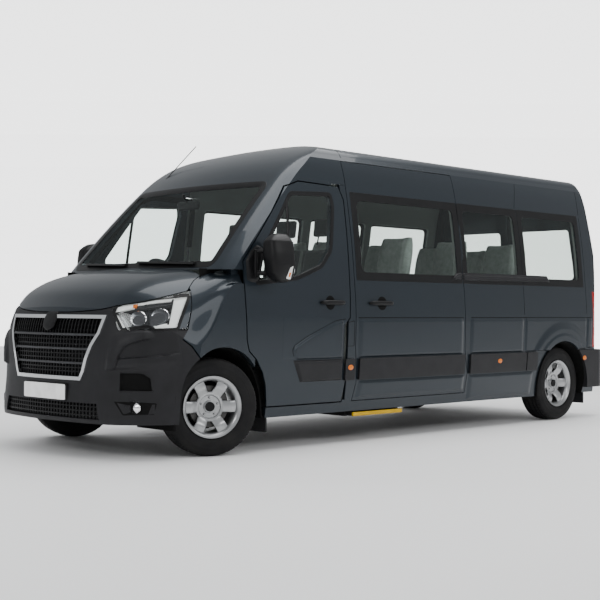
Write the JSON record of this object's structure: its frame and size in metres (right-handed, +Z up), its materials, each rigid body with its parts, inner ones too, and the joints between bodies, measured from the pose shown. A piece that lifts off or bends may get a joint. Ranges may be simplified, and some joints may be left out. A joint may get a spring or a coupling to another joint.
{
  "type": "minibus",
  "caption": "High-roof long-wheelbase minibus with hollow glazed cabin, hinged doors, sliding side door, steered front wheels and a side step.",
  "frame": {"origin": "on the ground under the middle of the vehicle, midway between front and rear ends", "axes": "+X towards the rear, +Y towards the vehicle's right side, +Z up"},
  "size_m": [5.9026, 2.4988, 2.4578],
  "materials": {
    "body_paint": "metallic slate grey",
    "dark_plastic": "fine grained charcoal moulding",
    "black_plastic": "black moulding",
    "glass": "grey tinted",
    "clear_glass": "clear",
    "lamp": "clear lens",
    "red_lamp": "red lens",
    "chrome": "bright trim",
    "tyre": "matt rubber",
    "alloy": "silver painted",
    "steel": "black chassis finish",
    "seat_fabric": "woven",
    "interior": "soft touch",
    "step_edge": "yellow edge tread"
  },
  "bodies": {
    "root": {"body_side_left": "body_paint", "body_side_right": "body_paint", "sliding_door": "body_paint", "side_glass": "glass", "tail_lamps": "red_lamp", "roof_panel": "body_paint", "windscreen": "clear_glass", "cab_frame": "body_paint", "floor_pan": "steel", "front_wings": "body_paint", "headlamps": "lamp", "front_bumper": "dark_plastic", "grille": "black_plastic", "grille_surround": "chrome", "fog_lamps": "lamp", "rear_bumper": "dark_plastic", "body_trim": "dark_plastic", "front_suspension": "steel", "rear_axle": "steel", "engine": "steel", "fuel_tank": "black_plastic", "exhaust": "steel", "spare_wheel": "tyre", "step_housing": "steel", "dashboard": "interior", "cab_seats": "seat_fabric", "passenger_seats": "seat_fabric", "wipers": "black_plastic", "aerial": "black_plastic"},
    "knuckle_left": {"knuckle_left": "steel"},
    "knuckle_right": {"knuckle_right": "steel"},
    "wheel_front_left": {"tyre_front_left": "tyre", "rim_front_left": "alloy"},
    "wheel_front_right": {"tyre_front_right": "tyre", "rim_front_right": "alloy"},
    "wheel_rear_left": {"tyre_rear_left": "tyre", "rim_rear_left": "alloy"},
    "wheel_rear_right": {"tyre_rear_right": "tyre", "rim_rear_right": "alloy"},
    "front_door_left": {"front_door_left": "body_paint", "front_door_glass_left": "clear_glass", "front_door_trim_left": "black_plastic"},
    "front_door_right": {"front_door_right": "body_paint", "front_door_glass_right": "clear_glass", "front_door_trim_right": "black_plastic"},
    "rear_door_left": {"rear_door_left": "body_paint", "rear_door_glass_left": "glass"},
    "rear_door_right": {"rear_door_right": "body_paint", "rear_door_glass_right": "glass"},
    "bonnet": {"bonnet": "body_paint"},
    "steering_wheel": {"steering_wheel": "interior"},
    "side_step": {"side_step": "step_edge"}
  },
  "joints": [
    {"name": "steering_left", "type": "hinge", "parent": "root", "child": "knuckle_left", "pos_m": [-2.125, -0.8, 0.35], "axis": [0, 0, 1], "range_deg": [-16, 56]},
    {"name": "steering_right", "type": "hinge", "parent": "root", "child": "knuckle_right", "pos_m": [-2.125, 0.8, 0.35], "axis": [0, 0, 1], "range_deg": [-16, 56]},
    {"name": "steering_wheel_turn", "type": "hinge", "parent": "root", "child": "steering_wheel", "pos_m": [-1.505, 0.4, 1.31], "axis": [0.7295, 0, 0.6839], "range_deg": [-224, 784]},
    {"name": "wheel_front_left_spin", "type": "hinge", "parent": "knuckle_left", "child": "wheel_front_left", "pos_m": [-2.15065, -0.87048, 0.35], "axis": [0.342, 0.9397, 0], "continuous": true},
    {"name": "wheel_front_right_spin", "type": "hinge", "parent": "knuckle_right", "child": "wheel_front_right", "pos_m": [-2.09935, 0.87048, 0.35], "axis": [0.342, 0.9397, 0], "continuous": true},
    {"name": "wheel_rear_left_spin", "type": "hinge", "parent": "root", "child": "wheel_rear_left", "pos_m": [2.207, -0.865, 0.35], "axis": [0, 1, 0], "continuous": true},
    {"name": "wheel_rear_right_spin", "type": "hinge", "parent": "root", "child": "wheel_rear_right", "pos_m": [2.207, 0.865, 0.35], "axis": [0, 1, 0], "continuous": true},
    {"name": "front_door_left_hinge", "type": "hinge", "parent": "root", "child": "front_door_left", "pos_m": [-1.936, -1.036, 1], "axis": [0, 0, -1], "range_deg": [0, 68]},
    {"name": "front_door_right_hinge", "type": "hinge", "parent": "root", "child": "front_door_right", "pos_m": [-1.936, 1.036, 1], "axis": [0, 0, 1], "range_deg": [0, 68]},
    {"name": "rear_door_left_hinge", "type": "hinge", "parent": "root", "child": "rear_door_left", "pos_m": [2.846, -0.908, 1.4], "axis": [0, 0, -1], "range_deg": [0, 180]},
    {"name": "rear_door_right_hinge", "type": "hinge", "parent": "root", "child": "rear_door_right", "pos_m": [2.846, 0.908, 1.4], "axis": [0, 0, 1], "range_deg": [0, 180]},
    {"name": "bonnet_hinge", "type": "hinge", "parent": "root", "child": "bonnet", "pos_m": [-2.145, 0, 1.372], "axis": [0, 1, 0], "range_deg": [0, 60]},
    {"name": "side_step_slide", "type": "slide", "parent": "root", "child": "side_step", "axis": [0, -1, 0], "range_m": [0, 0.25]}
  ],
  "couplings": [
    {"joint": "steering_right", "follows": "steering_left", "ratio": 1},
    {"joint": "steering_wheel_turn", "follows": "steering_left", "ratio": 14}
  ]
}
